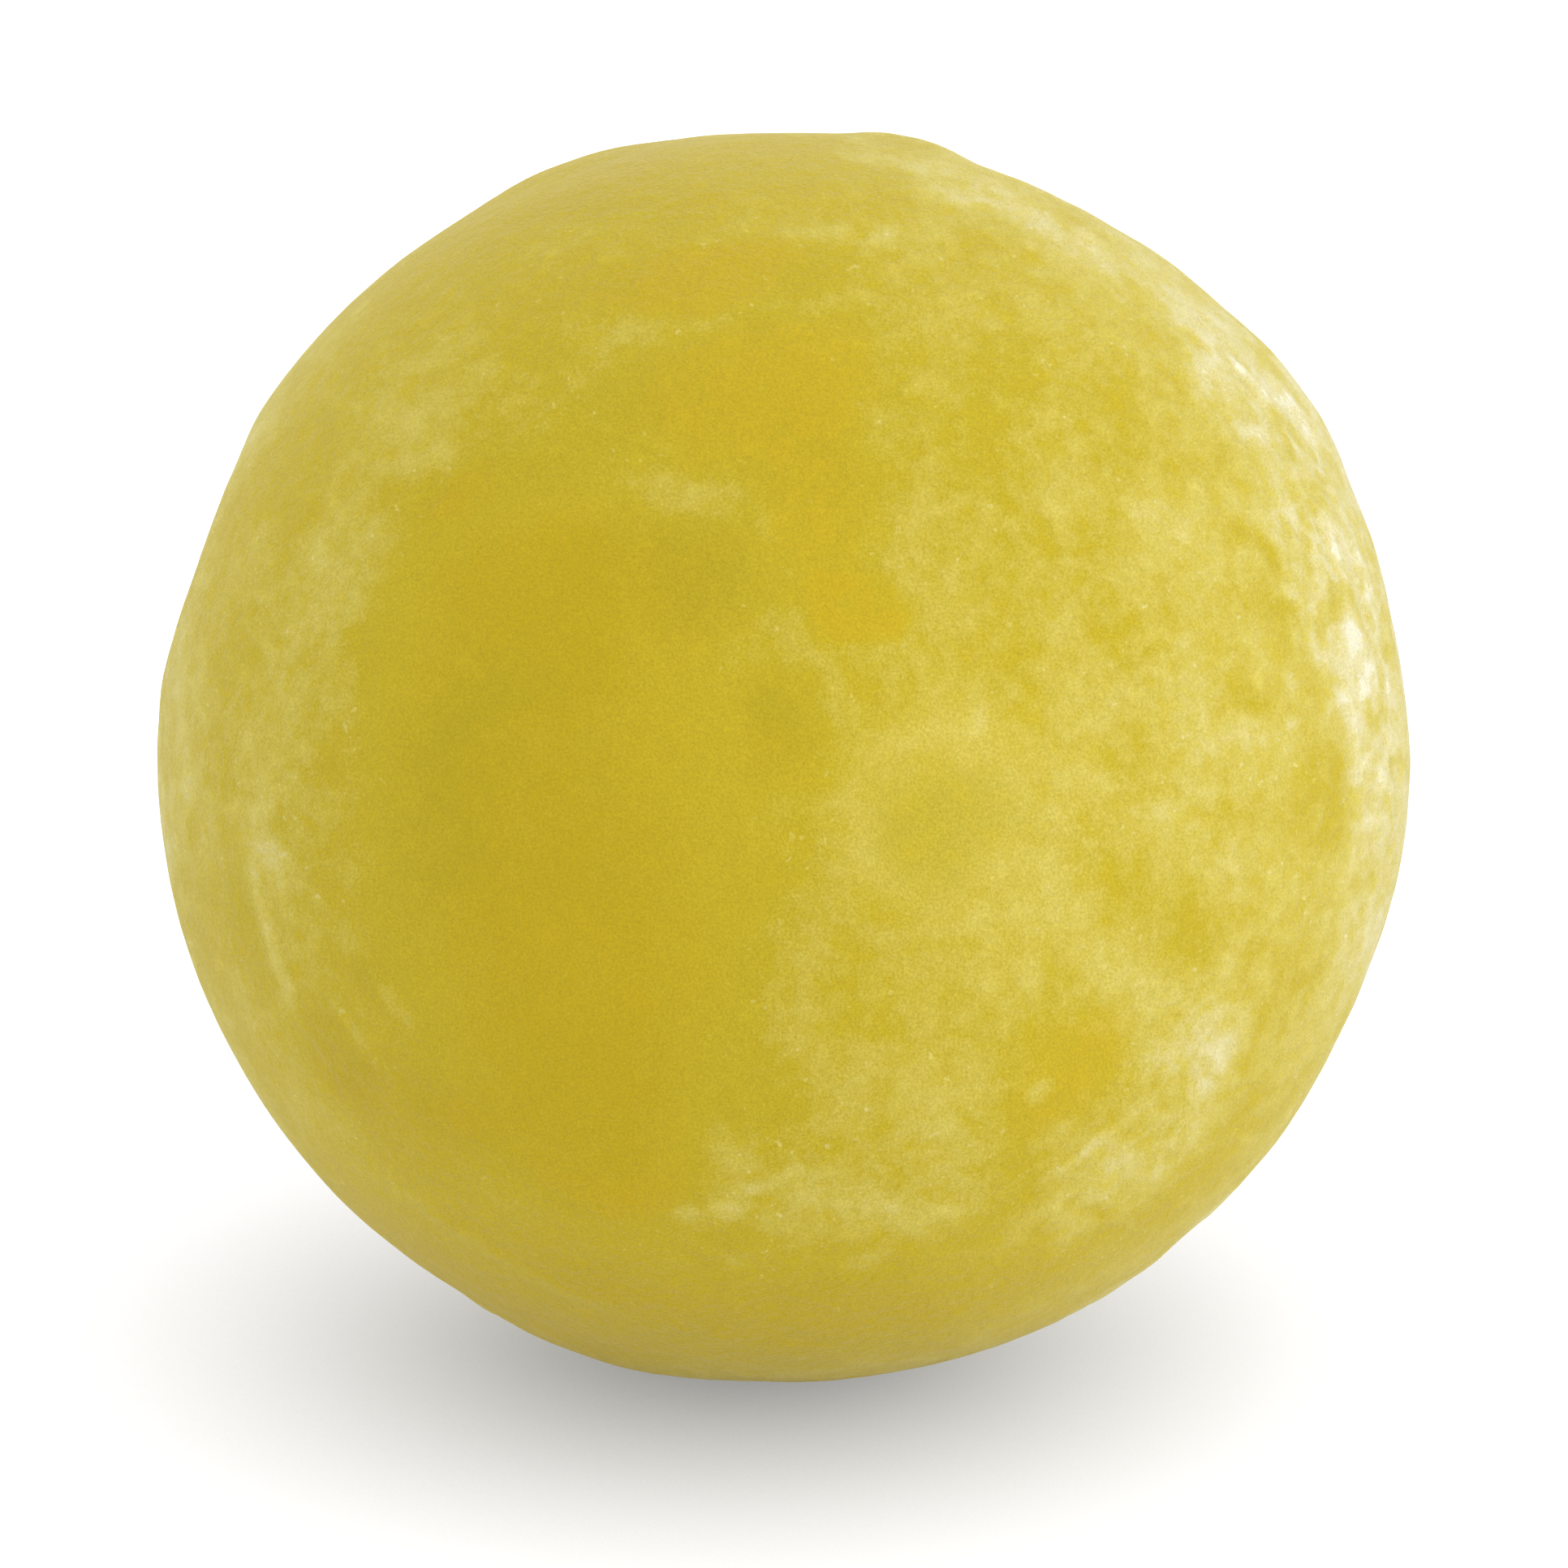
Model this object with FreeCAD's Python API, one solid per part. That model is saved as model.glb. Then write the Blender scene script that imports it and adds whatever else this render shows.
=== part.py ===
"""A lump of yellow detailing clay, kneaded soft and rolled by hand into a ball.

The lump is one homogeneous piece of putty: nothing is folded inside it and nothing holds it together.
Palms and fingertips leave broad, very shallow flats on a rolled ball, so its skin is the ball's own
radius less the depth of each flat. Soft clay also sags where it rests, which gives the ball a flat foot.

Millimetres and degrees. +Z is up, the front is -Y, and the origin is on the surface that the ball
stands on, under the middle of its outline.
"""

import FreeCAD, Part

import math
import os

# Driving dimensions of the ball.
BALL_RADIUS = 26.28  # from the middle to the skin, where nothing has flattened it
DEPTH_SHARE = 0.982  # front to back against side to side
FOOT_RADIUS = 7.6  # the flat that the ball sags onto
FOOT_ROUNDING = 5.0  # soft edge between that flat and the skin
CLAY_GRAMS = 100.0  # one bar's weight, printed against the volume as a check

# How closely the skin is sampled before the surface is drawn through it.
RINGS_APART = 7.5  # between two rings of latitude
POINTS_IN_A_RING = 48

# Flats left by the hands. A turn is measured about +Z from +X, a tilt is above the horizon, the depth
# is how far the skin is pressed in, and the spread is the angle at which the press has faded to a third.
PALM_FLATS = (
    # turn, tilt, depth, spread
    (3, 10, 0.37, 15),  # right side
    (22, 48, 0.30, 11),
    (37, 63, 0.33, 9),  # upper right, the straightest stretch of the outline
    (96, 72, 0.36, 10),
    (167, 36, 0.27, 16),
    (174, 18, 0.48, 11),  # left side, above the middle
    (184, -13, 0.22, 9),
    (196, -40, 0.38, 11),
    (294, -70, 0.44, 11),
    (337, -50, 0.20, 9),
    (351, -25, 0.46, 11),  # right side, below the middle
    (248, 10, 0.55, 24),  # the broad palm print on the front
    (292, -22, 0.30, 15),
    (305, 30, 0.28, 13),
    (215, 45, 0.34, 14),
    (262, 62, 0.26, 12),
    (28, -12, 0.40, 18),  # back
    (62, 18, 0.52, 22),
    (108, -8, 0.44, 17),
    (140, 22, 0.36, 14),
    (75, 52, 0.30, 13),
    (60, -42, 0.42, 17),
    (128, -46, 0.38, 15),
    (150, -20, 0.24, 11),
)


def pointing(turn, tilt):
    """The unit vector of a turn about +Z and a tilt above the horizon."""
    around = math.radians(turn)
    above = math.radians(tilt)
    return FreeCAD.Vector(
        math.cos(above) * math.cos(around),
        math.cos(above) * math.sin(around),
        math.sin(above),
    )


FLATS = [(pointing(turn, tilt), depth, math.radians(spread)) for turn, tilt, depth, spread in PALM_FLATS]


def skin_point(turn, tilt):
    """Where the ball's skin is, seen from its middle, with every flat pressed in."""
    way = pointing(turn, tilt)
    radius = BALL_RADIUS
    for middle, depth, spread in FLATS:
        radius -= depth * math.exp(-((way.getAngle(middle) / spread) ** 2))
    return FreeCAD.Vector(way.x * radius, way.y * radius * DEPTH_SHARE, way.z * radius)


def ring(tilt):
    """A smooth closed curve round the ball at one latitude."""
    step = 360 / POINTS_IN_A_RING
    points = [skin_point(step * n, tilt) for n in range(POINTS_IN_A_RING)]
    curve = Part.BSplineCurve()
    curve.interpolate(Points=points, PeriodicFlag=True)
    return Part.Wire(curve.toShape())


def rolled_ball():
    """The whole ball about its middle: one surface through rings of latitude, closed at both poles."""
    rings = round(180 / RINGS_APART) - 1
    tilts = [-90 + RINGS_APART * (n + 1) for n in range(rings)]
    poles = [Part.Vertex(skin_point(0, tilt)) for tilt in (-90, 90)]
    return Part.makeLoft([poles[0], *map(ring, tilts), poles[1]], True)


def rest_on_foot(ball):
    """Cuts the sagged foot flat, rounds its edge and stands the ball on the origin."""
    foot_drop = math.sqrt(BALL_RADIUS**2 - FOOT_RADIUS**2)
    half = 2 * BALL_RADIUS
    above_foot = Part.makeBox(2 * half, 2 * half, 2 * half, FreeCAD.Vector(-half, -half, -foot_drop))
    standing = ball.common(above_foot)
    foot_edges = [edge for edge in standing.Edges if edge.BoundBox.ZMax < -foot_drop + 0.01]
    standing = standing.makeFillet(FOOT_ROUNDING, foot_edges)
    outline = standing.optimalBoundingBox(False, False)
    standing.translate(FreeCAD.Vector(-outline.Center.x, -outline.Center.y, foot_drop))
    return standing


def main():
    os.makedirs("parts", exist_ok=True)
    clay_ball = rest_on_foot(rolled_ball())
    clay_ball.exportStep("parts/clay_ball.step")
    box = clay_ball.optimalBoundingBox(False, False)
    print(f"clay_ball is {box.XLength:.2f} x {box.YLength:.2f} x {box.ZLength:.2f} mm")
    print(f"valid {clay_ball.isValid()}, solids {len(clay_ball.Solids)}, faces {len(clay_ball.Faces)}")
    volume = clay_ball.Volume / 1000
    print(f"{volume:.2f} cm3, so {CLAY_GRAMS:.0f} g is {CLAY_GRAMS / volume:.3f} g/cm3")


main()
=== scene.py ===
# %% [markdown]
# # A ball of detailing clay
#
# Detailing clay is a soft, sticky putty that lifts grit off car paint. Before it is used, it is kneaded
# warm and rolled between the palms into a ball. The ball is one lump with nothing inside it, so all of
# its character is in two things: a skin that hands have pressed, and a waxy body that light sinks into.
#
# This lesson makes that ball in Blender, cell by cell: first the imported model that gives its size, then
# the camera, the floor and the light, then the marks and the skin with Geometry Nodes, and last the
# clay's finish.

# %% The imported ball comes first
import math
import random

import bpy
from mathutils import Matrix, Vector


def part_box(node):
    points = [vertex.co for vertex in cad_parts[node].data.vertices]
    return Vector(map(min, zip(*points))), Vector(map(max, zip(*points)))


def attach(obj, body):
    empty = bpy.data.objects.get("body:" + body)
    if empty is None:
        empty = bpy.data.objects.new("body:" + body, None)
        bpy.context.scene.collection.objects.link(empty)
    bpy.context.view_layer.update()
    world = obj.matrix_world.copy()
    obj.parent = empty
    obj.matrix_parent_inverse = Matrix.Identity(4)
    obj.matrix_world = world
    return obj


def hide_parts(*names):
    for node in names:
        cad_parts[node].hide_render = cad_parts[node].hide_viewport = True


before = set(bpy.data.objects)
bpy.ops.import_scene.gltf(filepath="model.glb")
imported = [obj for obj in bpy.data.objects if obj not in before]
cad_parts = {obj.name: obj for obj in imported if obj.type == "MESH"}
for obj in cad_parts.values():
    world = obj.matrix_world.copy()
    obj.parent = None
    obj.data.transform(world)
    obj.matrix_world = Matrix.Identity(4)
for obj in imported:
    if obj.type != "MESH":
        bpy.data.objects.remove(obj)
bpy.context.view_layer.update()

MM = 0.001  # Blender works in metres, and a ball of clay is easier to think of in millimetres

ball_low, ball_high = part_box("clay_ball")
ball_middle = (ball_low + ball_high) / 2
ball_radius = sum(ball_high - ball_low) / 6
print(f"the packed ball is {2 * ball_radius / MM:.1f} mm across")
print(f"its middle is {ball_middle.z / MM:.1f} mm up")

# %% [markdown]
# ## The side that is looked at
#
# The ball is looked at from straight in front and a little above. These three directions belong to that
# view. The camera stands along one of them, and the marks of the hands are placed by all three.

# %% Right, up and towards the eye
LOOK_DOWN = math.radians(18)
RIGHT = Vector((1, 0, 0))
UP = Vector((0, math.sin(LOOK_DOWN), math.cos(LOOK_DOWN)))
TOWARDS = Vector((0, -math.cos(LOOK_DOWN), math.sin(LOOK_DOWN)))
print("the eye looks along", tuple(round(c, 2) for c in -TOWARDS))

# %% [markdown]
# ## Camera
#
# A long lens flattens the ball into the nearly perfect disc that one sees from across a table. How far
# away the camera stands follows from how much of the frame the ball fills: a ball's outline is where
# the sight lines touch it, so the sine, not the tangent, of the half angle gives the distance.

# %% Camera
LENS = 200.0
SENSOR = 36.0
BALL_FILLS = 0.8025  # the ball's outline against the frame's width
BALL_SITS_HIGH = 0.0445  # its middle above the frame's middle, in ball radii

camera_data = bpy.data.cameras.new("camera")
camera_data.lens = LENS
camera_data.sensor_width = SENSOR
camera = bpy.data.objects.new("camera", camera_data)
bpy.context.scene.collection.objects.link(camera)
half_angle = math.atan(BALL_FILLS * SENSOR / 2 / LENS)
distance = ball_radius / math.sin(half_angle)
aim = ball_middle - UP * ball_radius * BALL_SITS_HIGH
camera.location = aim + TOWARDS * distance
camera.rotation_euler = (-TOWARDS).to_track_quat("-Z", "Y").to_euler()
camera_data.clip_start = distance / 50
camera_data.clip_end = distance * 50
bpy.context.scene.camera = camera
print(f"the camera stands {distance / MM:.0f} mm away")

# %% [markdown]
# ## A place on the face
#
# A mark at "10 mm right, 5 mm up" should be found as one would point at it on a drawing of the ball. But
# an eye this near sees less than half of the ball, and sees its middle larger than its edge. So a place
# is found along its sight line, where that line first meets the ball.

# %% A place on the face
def on_the_face(right, up):
    """The direction from the ball's middle to the place seen that many millimetres right and up."""
    share = math.hypot(right, up) * MM / ball_radius  # 0 in the middle, 1 on the outline
    slant = math.atan(share * math.tan(half_angle))  # of the sight line that meets the skin there
    off_middle = min(1.0, distance * math.sin(slant) / ball_radius)
    reach = distance * math.cos(slant) - ball_radius * math.sqrt(1 - off_middle**2)
    sideways = (RIGHT * right + UP * up).normalized() * reach * math.sin(slant)
    return (sideways + TOWARDS * (distance - reach * math.cos(slant))).normalized()


print("the middle of the face points to", tuple(round(c, 2) for c in on_the_face(0, 0)))

# %% [markdown]
# ## Short words for wiring nodes
#
# The floor, the skin and the finish are all node trees. Written out in full, a tree hides what it does
# behind calls to `nodes.new` and `links.new`. These few words let each tree read like a recipe: `add`
# puts a node in and feeds its sockets by name, and gives back the socket that the next step reads.

# %% Wiring
SOCKET_KINDS = {
    "number": "NodeSocketFloat",
    "count": "NodeSocketInt",
    "vector": "NodeSocketVector",
    "colour": "NodeSocketColor",
    "shape": "NodeSocketGeometry",
    "object": "NodeSocketObject",
    "material": "NodeSocketMaterial",
}


class Wiring:
    """A node tree with short words for adding nodes and joining them."""

    def __init__(self, tree):
        self.tree = tree

    def join(self, value, socket):
        """Feeds a socket another node's output, or a plain value."""
        if isinstance(value, bpy.types.NodeSocket):
            self.tree.links.new(value, socket)
        else:
            socket.default_value = value

    def add(self, kind, feeds=None, give=None, **settings):
        """Adds a node, sets its options, feeds its sockets and gives one of its outputs."""
        node = self.tree.nodes.new(kind)
        for option, value in settings.items():
            setattr(node, option, value)
        for name, value in (feeds or {}).items():
            self.join(value, pick(node.inputs, name))
        return pick(node.outputs, give) if len(node.outputs) else node

    def math(self, operation, *terms):
        """A sum on numbers."""
        return self.add("ShaderNodeMath", dict(enumerate(terms)), operation=operation)

    def vector(self, operation, *terms):
        """A sum on vectors."""
        return self.add("ShaderNodeVectorMath", dict(enumerate(terms)), operation=operation)

    def scaled(self, vector, size):
        """A vector made longer or shorter."""
        feeds = {"Vector": vector, "Scale": size}
        return self.add("ShaderNodeVectorMath", feeds, operation="SCALE")

    def ramp(self, value, start, end, low=0.0, high=1.0):
        """A soft step: low before start, high after end."""
        feeds = {"Value": value, "From Min": start, "From Max": end, "To Min": low, "To Max": high}
        return self.add("ShaderNodeMapRange", feeds, interpolation_type="SMOOTHSTEP")

    def noise(self, place, size, seed, detail=2.0, roughness=0.5, give="Fac"):
        """Cloudy noise whose blobs are about that size, different for each seed."""
        feeds = {"Vector": place, "W": seed, "Scale": 1 / size, "Detail": detail, "Roughness": roughness}
        return self.add("ShaderNodeTexNoise", feeds, give, noise_dimensions="4D")

    def centred(self, value):
        """A value from 0 to 1 turned into one from -0.5 to 0.5."""
        return self.math("SUBTRACT", value, 0.5)

    def kept(self, name, kind="FLOAT"):
        """What each point of the shape keeps under a name."""
        return self.add("GeometryNodeInputNamedAttribute", {"Name": name}, data_type=kind)

    def keep(self, shape, name, value, kind="FLOAT"):
        """The shape, with a value kept on each of its points under a name."""
        feeds = {"Geometry": shape, "Name": name, "Value": value}
        return self.add("GeometryNodeStoreNamedAttribute", feeds, data_type=kind)


def pick(sockets, name):
    """A socket by its place or its name, or else the first one in use."""
    if isinstance(name, int):
        return sockets[name]
    return next(s for s in sockets if s.enabled and (name is None or s.name == name))


def new_group(name, tree_kind, takes, gives):
    """An empty node group, as its wiring, the sockets it is given and the sockets it fills."""
    tree = bpy.data.node_groups.new(name, tree_kind)
    for socket_name, (kind, start) in takes.items():
        socket = tree.interface.new_socket(socket_name, in_out="INPUT", socket_type=SOCKET_KINDS[kind])
        if start is not None:
            socket.default_value = start
    for socket_name, kind in gives.items():
        tree.interface.new_socket(socket_name, in_out="OUTPUT", socket_type=SOCKET_KINDS[kind])
    taken = tree.nodes.new("NodeGroupInput").outputs
    given = tree.nodes.new("NodeGroupOutput").inputs
    return Wiring(tree), taken, given


def paint(red, green, blue):
    """A colour as a screen shows it, 0 to 255, turned into the plain light that shaders add up."""
    shown = (red / 255, green / 255, blue / 255)
    return (*(c / 12.92 if c <= 0.04045 else ((c + 0.055) / 1.055) ** 2.4 for c in shown), 1.0)


def in_material(name):
    """A new material, as the material, its wiring and its Principled shader's inputs."""
    material = bpy.data.materials.new(name)
    material.use_nodes = True
    return material, Wiring(material.node_tree), material.node_tree.nodes["Principled BSDF"].inputs


print("wiring words are ready")

# %% [markdown]
# ## Floor and light
#
# Soft clay looks soft only in soft light. The floor is white paper, but what the camera sees of it is mostly
# a glow of its own, though it is no lamp, with a painted shadow in it: the glow fades where the ball covers
# the sky, Ambient Occlusion measures that cover, and it leans to the right, where more of the light comes
# from.
# A trace of that painted glow reaches the clay too, so that its underside doesn't go dark. The rest of the
# paper's light is that of a plain matt sheet. The room is a white tent that looks brighter than it shines,
# and four wide panels make its glow uneven.

# %% Floor
FLOOR_REACH = 60 * ball_radius
FLOOR_GAP = 0.01 * MM  # the floor lies this far below the ball's foot, so the two never fight
PAPER_WHITE = (0.88, 0.88, 0.88, 1.0)
PAPER_GLOW = 1.53  # how strongly the paper glows by itself, though it is no lamp, where nothing covers it
PAINTED_SHADOW_DEPTH = 0.79  # how much of that glow the painted shadow takes away where the ball covers the whole sky
SKY_LEANS = (0.22, -0.03, 0.97)  # the middle of the sky that counts for the painted shadow
SKY_SAMPLES = 8
PAINTED_GLOW_SEEN = 0.75  # the painted glow's share in what the camera sees
PAINTED_GLOW_ON_CLAY = 0.09  # and in what lights the ball

floor_mesh = bpy.data.meshes.new("floor")
sides = ((-1, -1), (1, -1), (1, 1), (-1, 1))
corners = [(x * FLOOR_REACH, y * FLOOR_REACH, -FLOOR_GAP) for x, y in sides]
floor_mesh.from_pydata(corners, [], [(0, 1, 2, 3)])
floor = bpy.data.objects.new("floor", floor_mesh)
bpy.context.scene.collection.objects.link(floor)
paper, wiring, _ = in_material("white_paper_with_painted_shadow")
seen_directly = wiring.add("ShaderNodeLightPath", give="Is Camera Ray")
leaning = wiring.add("ShaderNodeCombineXYZ", dict(zip("XYZ", SKY_LEANS)))
sky = {"Distance": FLOOR_REACH, "Normal": leaning}
# painted shadow: the paper's own glow dims by how much of the sky the ball covers
open_sky = wiring.add("ShaderNodeAmbientOcclusion", sky, "AO", samples=SKY_SAMPLES)
glow_with_painted_shadow = wiring.math("MULTIPLY_ADD", open_sky, PAINTED_SHADOW_DEPTH * PAPER_GLOW, (1 - PAINTED_SHADOW_DEPTH) * PAPER_GLOW)
glowing = wiring.add("ShaderNodeEmission", {"Strength": glow_with_painted_shadow})
matt = wiring.add("ShaderNodeBsdfDiffuse", {"Color": PAPER_WHITE})
share = wiring.math("MULTIPLY_ADD", seen_directly, PAINTED_GLOW_SEEN - PAINTED_GLOW_ON_CLAY, PAINTED_GLOW_ON_CLAY)
sheet = wiring.add("ShaderNodeMixShader", {0: share, 1: matt, 2: glowing})
wiring.join(sheet, wiring.tree.nodes["Material Output"].inputs["Surface"])
floor_mesh.materials.append(paper)
print(f"the floor is {2 * FLOOR_REACH:.1f} m wide")

# %% Light
TENT_GLOW = 0.692  # what the tent sheds on the ball
BACKDROP_GLOW = 1.05  # how bright its cloth looks
PANELS = {
    # name: (place in ball radii from the ball's middle, side in ball radii, watts)
    "top_panel": ((1.0, -4.0, 20.0), 16.0, 0.7),
    "right_panel": ((14.0, -9.0, 4.0), 12.0, 0.75),
    "left_panel": ((-16.0, -5.0, 2.0), 12.0, 0.27),
    "back_panel": ((-2.0, 18.0, 6.0), 24.0, 0.9),
}

world = bpy.data.worlds.new("white_tent")
bpy.context.scene.world = world
world.use_nodes = True
tent = Wiring(world.node_tree)
seen_directly = tent.add("ShaderNodeLightPath", give="Is Camera Ray")
glow = tent.add("ShaderNodeMix", {"Factor": seen_directly, "A": TENT_GLOW, "B": BACKDROP_GLOW})
tent.join(glow, world.node_tree.nodes["Background"].inputs["Strength"])
world.node_tree.nodes["Background"].inputs["Color"].default_value = (1.0, 1.0, 1.0, 1.0)


def light_panel(name, place, side, watts):
    """A square panel lamp, turned to face the ball."""
    lamp = bpy.data.lights.new(name, "AREA")
    lamp.shape = "SQUARE"
    lamp.size = side * ball_radius
    lamp.energy = watts
    panel = bpy.data.objects.new(name, lamp)
    bpy.context.scene.collection.objects.link(panel)
    panel.location = ball_middle + Vector(place) * ball_radius
    panel.rotation_euler = (panel.location - ball_middle).to_track_quat("Z", "Y").to_euler()


for name, (place, side, watts) in PANELS.items():
    light_panel(name, place, side, watts)
bpy.context.scene.view_settings.view_transform = "Standard"

# %% [markdown]
# ## Marks that hands leave
#
# Where a palm slid over the ball, the skin is polished: light goes straight in, and the clay shows its
# deep colour. Where the skin was only stretched, it is matt with a pale bloom like that on wax. Folds,
# smears and nail strokes are small pale marks. A mark is an oval with soft edges on the ball's skin, and
# it says how much it adds to each quality of the skin there. Marks overlap and add up, so a print with a
# ragged rim is a large mark with small ones on its edge. Some pale marks along the outline and down the
# right
# side are painted light instead: a reflection of the white room and the light from the right.

# %% What one mark says
QUALITIES = {
    # haze also carries painted light: the pale bands painted along the outline and the paler right side
    "haze": "pale bloom, less than 0 where the skin is clear",
    "warmth": "towards amber, or towards olive below 0",
    "polish": "smooth and waxy instead of matt",
    "crinkle": "puckered, with small pits",
    "press": "pressed in, in millimetres",
}


def mark(right, up, long, wide, turn=0, edge=0.7, sway=1.0, **qualities):
    """One mark on the face. long and wide are half sizes in millimetres, turn is from level, in degrees.

    edge is how soft the outline is, from 0 to 1, and sway is how far noise may pull it out of shape.
    """
    return on_the_face(right, up), turn, long, wide, edge, sway, qualities


print("each mark can add:", ", ".join(QUALITIES))

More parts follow.
